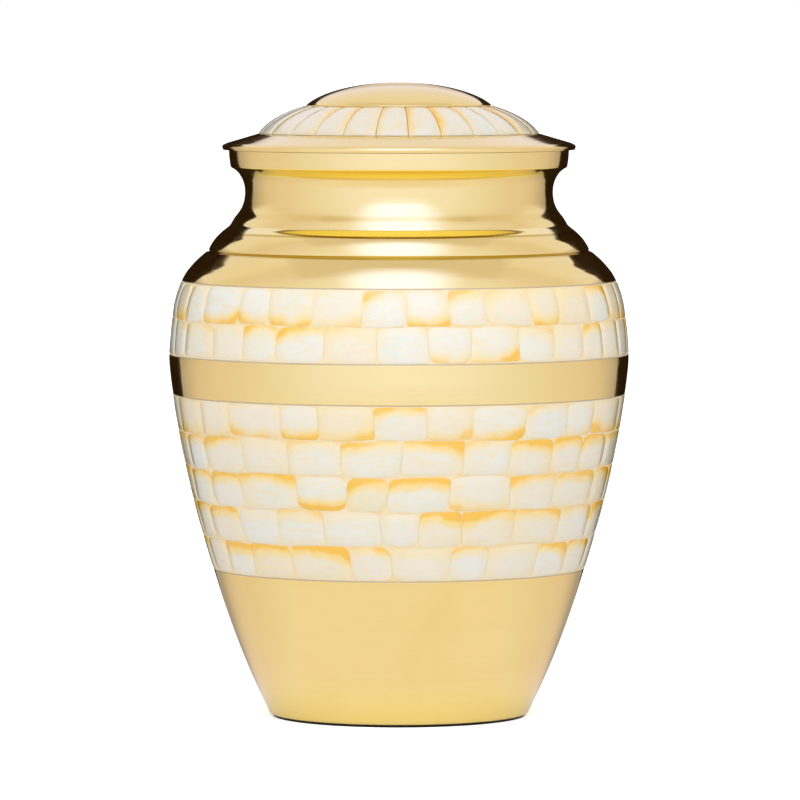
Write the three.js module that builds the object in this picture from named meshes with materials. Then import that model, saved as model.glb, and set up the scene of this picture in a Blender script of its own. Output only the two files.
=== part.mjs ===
// Cremation urn: a turned brass vessel with a lift-off lid, inlaid with bands of mother-of-pearl tiles.
// Millimetres, +Z up. The origin is the centre of the underside, on the surface that the urn stands on.

import * as THREE from 'three';

// Driving dimensions

// Separate pieces keep this clearance, and a band's tiles share it evenly with the brass beside them.
const CLEARANCE = 0.3;
const HALF_CLEARANCE = CLEARANCE / 2;
const TURNED_SIDES = 40;

// Felt pad under the foot
const PAD_THICKNESS = 0.6;
const PAD_RADIUS = 49.0;

// Brass vessel: the outer line from the foot to the shoulder, as radius and height
const FOOT_HEIGHT = PAD_THICKNESS + CLEARANCE;
const FOOT_RADIUS = 50.1;
const FOOT_CHAMFER = 0.8;
const WALL = 2.8;
const FLOOR_THICKNESS = 3.0;
const VESSEL_LINE = [
  [FOOT_RADIUS, FOOT_HEIGHT],
  [58.7, 19.6],
  [65.9, 38.3],
  [72.0, 57.4],
  [79.7, 84.6],
  [85.3, 110.8],
  [88.8, 134.3],
  [88.8, 144.5],
  [87.3, 158.8],
  [84.2, 169.2],
  [80.7, 174.8],
  [74.5, 180.7],
];

// Ring moulding on the shoulder, between the shoulder's upper edge and the foot of the neck
const MOULDING_LOWER = [73.7, 181.6];
const MOULDING_CREST = [71.6, 186.4];
const MOULDING_UPPER = [66.0, 190.3];

// Waisted neck and the collar that carries the lid
const NECK_LINE = [
  [65.3, 191.3],
  [61.9, 195.9],
  [59.8, 203.0],
  [61.5, 209.8],
  [65.2, 213.3],
];
const COLLAR_RADIUS = 65.9;
const COLLAR_SHOULDER_HEIGHT = 215.0;
const RIM_HEIGHT = 219.6;
const BORE_RADIUS = 57.0;
const BORE_FOOT_HEIGHT = 196.5;

// Inside of the shoulder: the two points that its line bends towards, from the belly's wall up to the bore
const SHOULDER_BEND_LOWER = [77.0, 176.5];
const SHOULDER_BEND_UPPER = [62.5, 188.0];

// Mother-of-pearl tiles: rows are counted from the top of each band
const SHELL_THICKNESS = 1.7;
const SHELL_PROUD = 0.2;
const RECESS_DEPTH = SHELL_THICKNESS + CLEARANCE - SHELL_PROUD;
const TILE_JOINT_DEPTH = 0.35;
const TILE_FACE_SHARE = 0.82;
const UPPER_BAND = { name: 'upper_pearl_row', bottom: 140.7, top: 169.3, tiles: [32, 32] };
const LOWER_BAND = { name: 'lower_pearl_row', bottom: 57.5, top: 125.5, tiles: [26, 26, 25, 25, 23] };

// Lid: dome, seat of the shell strips, flange and plug
const DOME_TOP = 245.9;
const DOME_WIDTH = 38.9;
const DOME_DEPTH = 14.2;
const DOME_EDGE_RADIUS = 35.7;
const DOME_STATIONS = [1, 0.85, 0.6, 0.3, 0];
const LIP_RADIUS = 68.5;
const LIP_THICKNESS = 2.6;
const LIP_SLOPE_RADIUS = 67.3;
const PLUG_RADIUS = BORE_RADIUS - 0.5;
const PLUG_LENGTH = 11.0;
const PLUG_WALL = 2.2;
const LID_WALL = 2.3;

// Lid strips: their count, the turn of the first in degrees, and the crown line that their outer faces follow,
// from the flange up to the dome
const STRIP_COUNT = 26;
const STRIP_TURN = 4.3;
const STRIP_THICKNESS = 1.5;
const STRIP_FLUTE = 0.35;
const STRIP_STEPS = 2;
const STRIP_FOOT = [54.3, 226.2];
const STRIP_BEND = [50.0, 232.9];
const STRIP_HEAD = [36.0, 236.97];

const BRASS = { color: 0xe0b860, roughness: 0.18, metalness: 1.0 };
const SHELL = { color: 0xeae2d0, roughness: 0.22, metalness: 0.0 };
const FELT = { color: 0x1d1a17, roughness: 0.95, metalness: 0.0 };

const urn = new THREE.Group();

function point([radius, height]) {
  return new THREE.Vector2(radius, height);
}

function addPiece(name, geometry, finish) {
  const piece = new THREE.Mesh(geometry, new THREE.MeshStandardMaterial(finish));
  piece.name = name;
  urn.add(piece);
  return piece;
}

// A solid turned about the upright axis. The outline runs anticlockwise, radius to the right and height up.
function turned(outline) {
  const geometry = new THREE.LatheGeometry(outline, TURNED_SIDES);
  geometry.rotateX(Math.PI / 2);
  return geometry;
}

const vesselCurve = new THREE.SplineCurve(VESSEL_LINE.map(point));

// Radius of the vessel's outer line at a height, found by halving the stretch of curve that holds it.
function vesselRadius(height) {
  let low = 0;
  let high = 1;
  while (high - low > 1e-7) {
    const middle = (low + high) / 2;
    if (vesselCurve.getPoint(middle).y < height) {
      low = middle;
    } else {
      high = middle;
    }
  }
  return vesselCurve.getPoint(low).x;
}

// Points of the vessel's outer line, or of a line a given depth inside it, at even heights.
function vesselPoints(from, to, steps, depth = 0) {
  const points = [];
  for (let step = 0; step <= steps; step += 1) {
    const height = THREE.MathUtils.lerp(from, to, step / steps);
    points.push(new THREE.Vector2(vesselRadius(height) - depth, height));
  }
  return points;
}

// Brass vessel
function vesselOutline() {
  const lowerFoot = LOWER_BAND.bottom - HALF_CLEARANCE;
  const lowerHead = LOWER_BAND.top + HALF_CLEARANCE;
  const upperFoot = UPPER_BAND.bottom - HALF_CLEARANCE;
  const upperHead = UPPER_BAND.top + HALF_CLEARANCE;
  const shoulderHeight = VESSEL_LINE.at(-1)[1];
  const moulding = new THREE.QuadraticBezierCurve(
    point(MOULDING_LOWER),
    point(MOULDING_CREST),
    point(MOULDING_UPPER),
  );
  const neck = new THREE.SplineCurve(NECK_LINE.map(point));
  const outside = [
    new THREE.Vector2(0, FOOT_HEIGHT),
    new THREE.Vector2(FOOT_RADIUS - FOOT_CHAMFER, FOOT_HEIGHT),
    ...vesselPoints(FOOT_HEIGHT + FOOT_CHAMFER, lowerFoot, 4),
    ...vesselPoints(lowerFoot, lowerHead, LOWER_BAND.tiles.length, RECESS_DEPTH),
    ...vesselPoints(lowerHead, upperFoot, 2),
    ...vesselPoints(upperFoot, upperHead, 4, RECESS_DEPTH),
    ...vesselPoints(upperHead, shoulderHeight, 3),
    ...moulding.getPoints(2),
    ...neck.getPoints(5),
    new THREE.Vector2(COLLAR_RADIUS, COLLAR_SHOULDER_HEIGHT),
    new THREE.Vector2(COLLAR_RADIUS, RIM_HEIGHT),
  ];
  const floorHeight = FOOT_HEIGHT + FLOOR_THICKNESS;
  const shoulderInside = new THREE.CubicBezierCurve(
    new THREE.Vector2(vesselRadius(UPPER_BAND.top) - WALL, UPPER_BAND.top - WALL),
    point(SHOULDER_BEND_LOWER),
    point(SHOULDER_BEND_UPPER),
    new THREE.Vector2(BORE_RADIUS, BORE_FOOT_HEIGHT),
  );
  const inside = [
    new THREE.Vector2(BORE_RADIUS, RIM_HEIGHT),
    ...shoulderInside.getPoints(4).reverse(),
    ...vesselPoints(floorHeight + WALL, UPPER_BAND.bottom, 3, WALL).reverse(),
    new THREE.Vector2(vesselRadius(floorHeight) - 2 * WALL, floorHeight),
    new THREE.Vector2(0, floorHeight),
  ];
  return [...outside, ...inside];
}

addPiece('urn_body', turned(vesselOutline()), BRASS);

// One row of shell tiles, fused at their joints. The flat backs clear the recess floor, and the faces stand
// a little proud of the brass with a sunk joint between neighbours. The row then follows the vessel's line.
function pearlRow(tileCount, bottom, top, steps) {
  const pitch = (2 * Math.PI) / tileCount;
  const faceRadius = vesselRadius(bottom) + SHELL_PROUD;
  const jointRadius = faceRadius - TILE_JOINT_DEPTH;
  const backRadius = (faceRadius - SHELL_THICKNESS) / Math.cos(pitch / 2);
  const faces = [];
  const backs = [];
  for (let tile = 0; tile < tileCount; tile += 1) {
    const joint = tile * pitch;
    const margin = ((1 - TILE_FACE_SHARE) / 2) * pitch;
    faces.push(polarPoint(jointRadius, joint));
    faces.push(polarPoint(faceRadius, joint + margin));
    faces.push(polarPoint(faceRadius, joint + pitch - margin));
    backs.push(polarPoint(backRadius, joint));
  }
  const outline = new THREE.Shape(faces);
  outline.holes.push(new THREE.Path(backs));
  const row = new THREE.ExtrudeGeometry(outline, { depth: top - bottom, steps, bevelEnabled: false });
  row.translate(0, 0, bottom);
  const places = row.attributes.position;
  for (let index = 0; index < places.count; index += 1) {
    const place = new THREE.Vector3().fromBufferAttribute(places, index);
    const radius = Math.hypot(place.x, place.y);
    const scale = (radius + vesselRadius(place.z) - vesselRadius(bottom)) / radius;
    places.setXYZ(index, place.x * scale, place.y * scale, place.z);
  }
  return row;
}

function polarPoint(radius, angle) {
  return new THREE.Vector2(radius * Math.cos(angle), radius * Math.sin(angle));
}

// Both bands: rows share the band's height evenly, and the rounded upper band takes an extra step a row.
function addBand(band, steps) {
  const rowHeight = (band.top - band.bottom) / band.tiles.length;
  band.tiles.forEach((tileCount, index) => {
    const top = band.top - index * rowHeight;
    const row = pearlRow(tileCount, top - rowHeight + HALF_CLEARANCE, top - HALF_CLEARANCE, steps);
    addPiece(`${band.name}_${index + 1}`, row, SHELL);
  });
}

addBand(UPPER_BAND, 2);
addBand(LOWER_BAND, 1);

// Lid: the crown line of the strips, moved in by a depth along its own normal and stretched past both ends
function crownLine(depth, overrun, steps) {
  const crown = new THREE.QuadraticBezierCurve(point(STRIP_FOOT), point(STRIP_BEND), point(STRIP_HEAD));
  const points = [];
  for (let step = 0; step <= steps; step += 1) {
    const along = crown.getTangent(step / steps);
    const inward = new THREE.Vector2(-along.y, along.x);
    const place = crown.getPoint(step / steps).addScaledVector(inward, depth);
    if (step === 0) {
      place.addScaledVector(along, -overrun);
    }
    if (step === steps) {
      place.addScaledVector(along, overrun);
    }
    points.push(place);
  }
  return points;
}

function domeHeight(radius) {
  return DOME_TOP - DOME_DEPTH + DOME_DEPTH * Math.sqrt(1 - (radius / DOME_WIDTH) ** 2);
}

function lidOutline() {
  const undersideHeight = RIM_HEIGHT + CLEARANCE;
  const lipTop = undersideHeight + LIP_THICKNESS;
  const seat = crownLine(STRIP_THICKNESS + CLEARANCE, CLEARANCE, STRIP_STEPS);
  const flangeEdge = crownLine(0, CLEARANCE, 1)[0];
  const plugInside = PLUG_RADIUS - PLUG_WALL;
  const domeRadii = DOME_STATIONS.map((share) => share * DOME_EDGE_RADIUS);
  const outside = [
    new THREE.Vector2(PLUG_RADIUS, undersideHeight - PLUG_LENGTH),
    new THREE.Vector2(PLUG_RADIUS, undersideHeight),
    new THREE.Vector2(LIP_RADIUS - LIP_THICKNESS / 4, undersideHeight),
    new THREE.Vector2(LIP_RADIUS, undersideHeight + LIP_THICKNESS / 3),
    new THREE.Vector2(LIP_RADIUS, undersideHeight + (2 * LIP_THICKNESS) / 3),
    new THREE.Vector2(LIP_SLOPE_RADIUS, lipTop),
    flangeEdge,
    ...seat,
    ...domeRadii.map((radius) => new THREE.Vector2(radius, domeHeight(radius))),
  ];
  const hollow = crownLine(STRIP_THICKNESS + CLEARANCE + LID_WALL, 0, STRIP_STEPS).reverse();
  const inside = [
    new THREE.Vector2(0, DOME_TOP - LID_WALL),
    new THREE.Vector2(DOME_EDGE_RADIUS / 2, domeHeight(DOME_EDGE_RADIUS / 2) - LID_WALL),
    ...hollow,
    new THREE.Vector2(plugInside, undersideHeight),
    new THREE.Vector2(plugInside, undersideHeight - PLUG_LENGTH),
  ];
  const outline = [...outside, ...inside];
  return [...outline, outline[0].clone()];
}

addPiece('lid', turned(lidOutline()), BRASS);

// Lid strips: the side section of a strip drawn across its width, then bent round the lid's axis. Its crown
// is raised along the middle, so the ring of strips is softly fluted.
function lidStrip() {
  const crown = crownLine(0, 0, STRIP_STEPS);
  const back = crownLine(STRIP_THICKNESS, 0, STRIP_STEPS).reverse();
  const section = new THREE.Shape([...crown, ...back]);
  const strip = new THREE.ExtrudeGeometry(section, { depth: 2, steps: 2, bevelEnabled: false });
  const halfAngle = Math.PI / STRIP_COUNT;
  const crownPoints = crown.map((place) => `${place.x.toFixed(4)} ${place.y.toFixed(4)}`);
  const places = strip.attributes.position;
  for (let index = 0; index < places.count; index += 1) {
    const radius = places.getX(index);
    const height = places.getY(index);
    const side = 1 - places.getZ(index);
    const crowned = side === 0 && crownPoints.includes(`${radius.toFixed(4)} ${height.toFixed(4)}`);
    const raised = crowned ? radius + STRIP_FLUTE : radius;
    const across = side * (raised * Math.sin(halfAngle) - HALF_CLEARANCE);
    places.setXYZ(index, side === 0 ? raised : raised * Math.cos(halfAngle), across, height);
  }
  return strip;
}

for (let index = 0; index < STRIP_COUNT; index += 1) {
  const name = `lid_strip_${String(index + 1).padStart(2, '0')}`;
  const strip = addPiece(name, lidStrip(), SHELL);
  strip.rotation.z = THREE.MathUtils.degToRad(STRIP_TURN + (index * 360) / STRIP_COUNT);
}

// Felt pad under the foot
const pad = addPiece(
  'base_pad',
  new THREE.CylinderGeometry(PAD_RADIUS, PAD_RADIUS, PAD_THICKNESS, TURNED_SIDES),
  FELT,
);
pad.rotation.x = Math.PI / 2;
pad.position.z = PAD_THICKNESS / 2;

export default urn;
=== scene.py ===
import math
import random

import bpy
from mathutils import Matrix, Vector


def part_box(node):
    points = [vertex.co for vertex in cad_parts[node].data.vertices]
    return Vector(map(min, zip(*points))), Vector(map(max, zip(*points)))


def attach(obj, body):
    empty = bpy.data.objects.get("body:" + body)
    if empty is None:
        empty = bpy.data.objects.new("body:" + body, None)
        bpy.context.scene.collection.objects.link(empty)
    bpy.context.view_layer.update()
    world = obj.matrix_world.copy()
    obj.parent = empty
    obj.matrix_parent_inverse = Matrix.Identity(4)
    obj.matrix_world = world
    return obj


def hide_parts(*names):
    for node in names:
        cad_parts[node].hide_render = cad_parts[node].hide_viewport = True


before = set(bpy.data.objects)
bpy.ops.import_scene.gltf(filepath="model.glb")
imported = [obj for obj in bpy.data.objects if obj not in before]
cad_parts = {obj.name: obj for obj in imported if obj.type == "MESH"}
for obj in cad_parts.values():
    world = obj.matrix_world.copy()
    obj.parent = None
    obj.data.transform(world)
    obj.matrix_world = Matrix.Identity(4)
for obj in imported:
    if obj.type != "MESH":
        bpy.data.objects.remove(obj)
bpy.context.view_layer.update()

# Brass vessel
# The body is one piece of brass, cast and turned on a lathe from the foot to the collar, then polished and
# lacquered. Two shallow bands are cut round its wall for the shell tiles, and it is hollow under the lid.
MM = 0.001
TURN_STEPS = 192
FOOT_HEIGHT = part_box("urn_body")[0].z / MM
RIM_LIFT = 0.25
RIM_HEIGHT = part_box("urn_body")[1].z / MM + RIM_LIFT
FLOOR_THICKNESS = 3.0
FLOOR_HEIGHT = FOOT_HEIGHT + FLOOR_THICKNESS
FLOOR_RADIUS = 45.9
FLOOR_RING = 22.0
FOOT_RADIUS = 50.1
FOOT_ROUNDING = 0.9
FOOT_EDGE = 1.2
RECESS_DEPTH = 1.8
RECESS_MARGIN = 0.15
EDGE_ROUNDING = 0.14
LINE_GAP = 0.05
EDGE_GAP = RECESS_MARGIN + EDGE_ROUNDING + LINE_GAP
CREASE_ROUNDING = 0.35
CREASE_GAP = 0.4
QUIRK_ROUNDING = 0.15
RIM_ROUNDING = 0.15
BORE_ROUNDING = 0.4
BORE_RADIUS = 57.0
SMOOTH_ANGLE = math.radians(40)
MERGE_DISTANCE = 0.004 * MM
BAND_ENDS = [
    (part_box("lower_pearl_row_5")[0].z / MM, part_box("lower_pearl_row_1")[1].z / MM),
    (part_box("upper_pearl_row_2")[0].z / MM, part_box("upper_pearl_row_1")[1].z / MM),
]
FOOT_TO_SHOULDER = [
    (FOOT_RADIUS, FOOT_HEIGHT), (58.7, 19.6), (65.9, 38.3), (72.0, 57.4), (79.7, 84.6), (85.3, 110.8),
    (88.8, 134.3), (88.8, 144.5), (87.3, 158.8), (86.05, 164.2), (84.2, 169.2), (82.65, 172.1),
    (80.85, 174.45), (78.75, 176.76), (77.1, 178.3), (75.35, 179.8), (74.75, 180.25),
]
QUIRK = (73.2, 180.5)
MOULDING = [
    (73.75, 181.2), (73.3, 182.3), (72.42, 183.8), (71.3, 185.35), (69.9, 186.9), (68.2, 188.45),
    (66.2, 190.0),
]
NECK_CREASE = (65.5, 190.6)
NECK = [
    (65.3, 190.9), (64.95, 191.54), (64.52, 192.32), (64.04, 193.1), (63.49, 193.88), (62.87, 194.66),
    (62.25, 195.44), (61.7, 196.22), (61.23, 197.0), (60.75, 198.0), (60.1, 199.9), (59.8, 201.8),
    (59.67, 203.6), (59.97, 206.35), (60.75, 208.6), (61.6, 210.1), (62.5, 211.25), (63.75, 212.3),
    (65.15, 213.15),
]
COLLAR = [(65.15, 213.15), (65.4, 214.3), (65.6, 215.7), (65.78, 217.4)]
COLLAR_CORNER = 0.25
COLLAR_RADIUS = 65.9
INSIDE = [
    (BORE_RADIUS, 197.0), (62.5, 189.6), (69.6, 182.1), (76.5, 174.2), (81.4, 166.5), (85.9, 145.0),
    (83.5, 118.0), (76.8, 84.6), (69.0, 57.4), (62.9, 38.3), (55.8, 19.6), (50.0, 7.4),
]


def smooth_line(points, steps):
    """A smooth curve through a few points, with so many short steps from each point to the next."""
    padded = [points[0]] + points + [points[-1]]
    line = [points[0]]
    for before, start, end, after in zip(padded, padded[1:], padded[2:], padded[3:]):
        for step in range(1, steps + 1):
            t = step / steps
            place = []
            for a, b, c, d in zip(before, start, end, after):
                bend = (2 * a - 5 * b + 4 * c - d) * t ** 2 + (3 * b - a - 3 * c + d) * t ** 3
                place.append(b + 0.5 * ((c - a) * t + bend))
            line.append(tuple(place))
    return line


def line_radius(line, height):
    """Radius of a rising line of radii and heights at one height."""
    for (low_radius, low), (high_radius, high) in zip(line, line[1:]):
        if height <= high:
            break
    share = (height - low) / (high - low)
    return low_radius + (high_radius - low_radius) * share


def stretch(line, low, high):
    """The part of a rising line between two heights, with its two ends worked out."""
    inside = [place for place in line if low + LINE_GAP < place[1] < high - LINE_GAP]
    return [(line_radius(line, low), low)] + inside + [(line_radius(line, high), high)]


def rounded(before, corner, after, reach, steps=4):
    """A corner of an outline eased into a small arc that starts and ends at a given reach from it."""
    corner = Vector(corner)
    start = corner + (Vector(before) - corner).normalized() * reach
    end = corner + (Vector(after) - corner).normalized() * reach
    arc = []
    for step in range(steps + 1):
        t = step / steps
        place = start * (1 - t) ** 2 + corner * 2 * t * (1 - t) + end * t ** 2
        arc.append((place.x, place.y))
    return arc


def turn_outline(name, outline, closed=False):
    """Extrude one vertex along an outline in millimetres, then spin it once round the upright axis."""
    bpy.ops.object.select_all(action="DESELECT")
    bpy.ops.mesh.primitive_plane_add(size=MM, location=(outline[0][0] * MM, 0, outline[0][1] * MM))
    piece = bpy.context.active_object
    piece.name = name
    bpy.ops.object.mode_set(mode="EDIT")
    bpy.ops.mesh.select_mode(type="VERT")
    bpy.ops.mesh.select_all(action="SELECT")
    bpy.ops.mesh.merge(type="CENTER")
    path = outline + outline[:1] if closed else outline
    for start, end in zip(path, path[1:]):
        move = ((end[0] - start[0]) * MM, 0, (end[1] - start[1]) * MM)
        bpy.ops.mesh.extrude_region_move(TRANSFORM_OT_translate={"value": move})
    bpy.ops.mesh.select_all(action="SELECT")
    bpy.ops.mesh.spin(steps=TURN_STEPS, angle=math.tau, center=(0, 0, 0), axis=(0, 0, 1))
    bpy.ops.mesh.select_all(action="SELECT")
    bpy.ops.mesh.remove_doubles(threshold=MERGE_DISTANCE)
    bpy.ops.mesh.normals_make_consistent(inside=False)
    bpy.ops.object.mode_set(mode="OBJECT")
    bpy.ops.object.transform_apply(location=True, rotation=True, scale=True)
    bpy.ops.object.shade_smooth_by_angle(angle=SMOOTH_ANGLE)
    return piece


def recess(line, ends):
    """A band cut into the wall: its lower edge, the floor behind the tiles and its upper edge."""
    low = ends[0] - RECESS_MARGIN
    high = ends[1] + RECESS_MARGIN
    levels = (low - 1, low, high, high + 1)
    under, lower, upper, over = ((line_radius(line, level), level) for level in levels)
    floor = [(radius - RECESS_DEPTH, height) for radius, height in stretch(line, low, high)]
    low_edge = rounded(under, lower, floor[0], EDGE_ROUNDING)
    high_edge = rounded(floor[-1], upper, over, EDGE_ROUNDING)
    return low_edge + floor + high_edge


wall = smooth_line(FOOT_TO_SHOULDER, 12)
moulding = smooth_line(MOULDING, 6)
neck = smooth_line(NECK, 4)
collar = smooth_line(COLLAR, 4)
collar_edge = (COLLAR_RADIUS, RIM_HEIGHT)
bore_edge = (BORE_RADIUS, RIM_HEIGHT)
vessel_outline = (
    [(0, FOOT_HEIGHT), (FOOT_RADIUS * 0.5, FOOT_HEIGHT)]
    + rounded((0, FOOT_HEIGHT), (FOOT_RADIUS, FOOT_HEIGHT), wall[6], FOOT_ROUNDING)
    + stretch(wall, FOOT_HEIGHT + FOOT_EDGE, BAND_ENDS[0][0] - EDGE_GAP)
    + recess(wall, BAND_ENDS[0])
    + stretch(wall, BAND_ENDS[0][1] + EDGE_GAP, BAND_ENDS[1][0] - EDGE_GAP)
    + recess(wall, BAND_ENDS[1])
    + stretch(wall, BAND_ENDS[1][1] + EDGE_GAP, wall[-1][1] - CREASE_GAP)
    + rounded(wall[-4], wall[-1], QUIRK, CREASE_ROUNDING)
    + rounded(wall[-1], QUIRK, moulding[0], QUIRK_ROUNDING)
    + rounded(QUIRK, moulding[0], moulding[4], CREASE_ROUNDING)
    + moulding[2:-1]
    + rounded(moulding[-3], NECK_CREASE, neck[3], CREASE_ROUNDING)
    + neck[1:-1]
    + rounded(neck[-2], neck[-1], collar[1], COLLAR_CORNER)
    + collar[2:]
    + rounded(collar[-1], collar_edge, bore_edge, RIM_ROUNDING)
    + rounded(collar_edge, bore_edge, INSIDE[0], BORE_ROUNDING)
    + smooth_line(INSIDE, 4)
    + [(FLOOR_RADIUS, FLOOR_HEIGHT), (FLOOR_RING, FLOOR_HEIGHT), (0, FLOOR_HEIGHT)]
)
vessel = turn_outline("brass_vessel", vessel_outline)


def add_node(tree, kind, **values):
    """A shader node, with its properties by name and its unlinked inputs by socket name or number."""
    node = tree.nodes.new(kind)
    inputs = values.pop("inputs", {})
    for name, value in values.items():
        setattr(node, name, value)
    for socket, value in inputs.items():
        if isinstance(value, bpy.types.NodeSocket):
            tree.links.new(value, node.inputs[socket])
        else:
            node.inputs[socket].default_value = value
    return node


def calculate(tree, operation, *terms):
    """A Math node on sockets or plain numbers."""
    node = add_node(tree, "ShaderNodeMath", operation=operation, inputs=dict(enumerate(terms)))
    return node.outputs[0]


def noise(tree, vector, scale, detail=2.0, distortion=0.0):
    """The grey value of a noise texture."""
    inputs = {"Vector": vector, "Scale": scale, "Detail": detail, "Distortion": distortion}
    return add_node(tree, "ShaderNodeTexNoise", inputs=inputs).outputs["Fac"]


def blend_colors(tree, share, first, second, mode="MIX"):
    """Two colours mixed by a share."""
    node = add_node(tree, "ShaderNodeMix", data_type="RGBA", blend_type=mode)
    for socket, value in ((0, share), (6, first), (7, second)):
        if isinstance(value, bpy.types.NodeSocket):
            tree.links.new(value, node.inputs[socket])
        else:
            node.inputs[socket].default_value = value
    return node.outputs[2]


def spread(tree, value, low, high, to_low=0.0, to_high=1.0):
    """A value eased from one range to another."""
    inputs = {"Value": value, "From Min": low, "From Max": high, "To Min": to_low, "To Max": to_high}
    node = add_node(tree, "ShaderNodeMapRange", interpolation_type="SMOOTHSTEP", inputs=inputs)
    return node.outputs["Result"]


def level_reach(tree, axes):
    """How far a place or heading lies from the upright axis."""
    squares = [calculate(tree, "POWER", axes[axis], 2.0) for axis in "XY"]
    return calculate(tree, "SQRT", calculate(tree, "ADD", *squares))


def new_group(name, inputs, outputs):
    """An empty shader group with named colour and number sockets, its inputs and the node they leave by."""
    group = bpy.data.node_groups.new(name, "ShaderNodeTree")
    for side, sockets in (("INPUT", inputs), ("OUTPUT", outputs)):
        for socket, kind in sockets.items():
            group.interface.new_socket(socket, in_out=side, socket_type="NodeSocket" + kind)
    entry = group.nodes.new("NodeGroupInput").outputs
    return group, entry, group.nodes.new("NodeGroupOutput").inputs


def turned_brass_group():
    """Polished brass from the lathe: rings that follow the turning, faint clouding and soft tarnish."""
    group, entry, leave = new_group(
        "turned_brass", {"Bright": "Color", "Tarnished": "Color"}, FINISH_OUTPUTS
    )
    place = add_node(group, "ShaderNodeTexCoord").outputs["Object"]
    axes = add_node(group, "ShaderNodeSeparateXYZ", inputs={"Vector": place}).outputs
    radius = level_reach(group, axes)
    ring_inputs = {"X": radius, "Y": 0.0, "Z": axes["Z"]}
    ring_place = add_node(group, "ShaderNodeCombineXYZ", inputs=ring_inputs).outputs[0]
    arc_inputs = {
        "X": calculate(group, "MULTIPLY", axes["X"], SCRATCH_STRETCH),
        "Y": calculate(group, "MULTIPLY", axes["Y"], SCRATCH_STRETCH),
        "Z": calculate(group, "ADD", radius, axes["Z"]),
    }
    arc_place = add_node(group, "ShaderNodeCombineXYZ", inputs=arc_inputs).outputs[0]
    rings = noise(group, ring_place, RING_FINENESS, 3.0)
    scratches = noise(group, arc_place, SCRATCH_FINENESS, 2.0)
    clouds = noise(group, place, 22.0, 4.0, 0.6)
    smears = noise(group, place, 90.0, 3.0, 0.4)
    stain = spread(group, clouds, 0.48, 0.78, 0.0, 0.35)
    fine = spread(group, rings, 0.35, 0.7, 0.0, 0.12)
    color = blend_colors(group, calculate(group, "ADD", stain, fine), entry["Bright"], entry["Tarnished"])
    polish = spread(group, smears, 0.3, 0.75, 0.05, 0.11)
    rough = calculate(group, "ADD", polish, calculate(group, "MULTIPLY", scratches, 0.05))
    height = calculate(group, "ADD", rings, calculate(group, "MULTIPLY", scratches, 0.5))
    for socket, value in (("Color", color), ("Roughness", rough), ("Height", height)):
        group.links.new(value, leave[socket])
    return group


def level_group():
    """A mask for what lies between two levels, with soft limits."""
    group, entry, leave = new_group(
        "between_levels", {"Low": "Float", "High": "Float", "Ease": "Float"}, {"Mask": "Float"}
    )
    place = add_node(group, "ShaderNodeTexCoord").outputs["Object"]
    height = add_node(group, "ShaderNodeSeparateXYZ", inputs={"Vector": place}).outputs["Z"]
    bottom = calculate(group, "SUBTRACT", entry["Low"], entry["Ease"])
    above = spread(group, height, bottom, entry["Low"])
    top = calculate(group, "ADD", entry["High"], entry["Ease"])
    below = spread(group, height, entry["High"], top, 1.0, 0.0)
    group.links.new(calculate(group, "MULTIPLY", above, below), leave["Mask"])
    return group


FINISH_OUTPUTS = {"Color": "Color", "Roughness": "Float", "Height": "Float"}
RING_FINENESS = 900.0
SCRATCH_FINENESS = 2600.0
SCRATCH_STRETCH = 0.02
turned_brass = turned_brass_group()
between_levels = level_group()


def tint_levels(tree, color, levels):
    """A colour changed to others between given levels in millimetres."""
    for low, high, ease, tint in levels:
        mask = add_node(tree, "ShaderNodeGroup", node_tree=between_levels)
        for socket, value in (("Low", low), ("High", high), ("Ease", ease)):
            mask.inputs[socket].default_value = value * MM
        color = blend_colors(tree, mask.outputs["Mask"], color, tint)
    return color


def brass_finish(name, bright, tarnished, ring_depth, painted_reflections_and_shade):
    """Lacquered brass: the turned group's finish, with deeper gold and brown painted in the hollows as
    painted reflections and painted shade, under a thin clear coat.
    """
    material = bpy.data.materials.new(name)
    material.use_nodes = True
    tree = material.node_tree
    surface = tree.nodes["Principled BSDF"]
    turned = add_node(tree, "ShaderNodeGroup", node_tree=turned_brass)
    turned.inputs["Bright"].default_value = bright
    turned.inputs["Tarnished"].default_value = tarnished
    bump = add_node(tree, "ShaderNodeBump", inputs={"Strength": 0.12, "Distance": ring_depth})
    tree.links.new(turned.outputs["Height"], bump.inputs["Height"])
    # The levels given paint reflections and shade into the brass colour
    tree.links.new(tint_levels(tree, turned.outputs["Color"], painted_reflections_and_shade), surface.inputs["Base Color"])
    tree.links.new(turned.outputs["Roughness"], surface.inputs["Roughness"])
    tree.links.new(bump.outputs["Normal"], surface.inputs["Normal"])
    surface.inputs["Metallic"].default_value = 1.0
    surface.inputs["Coat Weight"].default_value = 0.25
    surface.inputs["Coat Roughness"].default_value = 0.03
    return material


BRASS_BRIGHT = (0.9, 0.71, 0.25, 1)
BRASS_TARNISHED = (0.84, 0.62, 0.18, 1)
COLLAR_PAINTED_REFLECTION = (0.98, 0.79, 0.13, 1)
COVE_PAINTED_REFLECTION = (0.86, 0.65, 0.2, 1)
CREASE_PAINTED_REFLECTION = (0.95, 0.79, 0.33, 1)
CREASE_PAINTED_SHADE = (0.62, 0.44, 0.06, 1)
QUIRK_PAINTED_SHADE = (0.69, 0.51, 0.1, 1)
RING_DEPTH = 0.00002
# Painted reflections: deeper gold under the collar and at the neck's foot, where brass shows brass, and
# brown painted shade in the two fine grooves of the shoulder
VESSEL_PAINTED_REFLECTIONS = [
    (210.5, 213.2, 0.5, COLLAR_PAINTED_REFLECTION),
    (194.2, 195.5, 0.7, COVE_PAINTED_REFLECTION),
    (188.6, 190.5, 0.3, CREASE_PAINTED_REFLECTION),
    (187.8, 188.2, 0.3, CREASE_PAINTED_SHADE),
    (179.9, 181.0, 0.3, QUIRK_PAINTED_SHADE),
]
vessel.data.materials.append(
    brass_finish("vessel_brass", BRASS_BRIGHT, BRASS_TARNISHED, RING_DEPTH, VESSEL_PAINTED_REFLECTIONS)
)
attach(vessel, "root")
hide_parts("urn_body")

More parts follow.
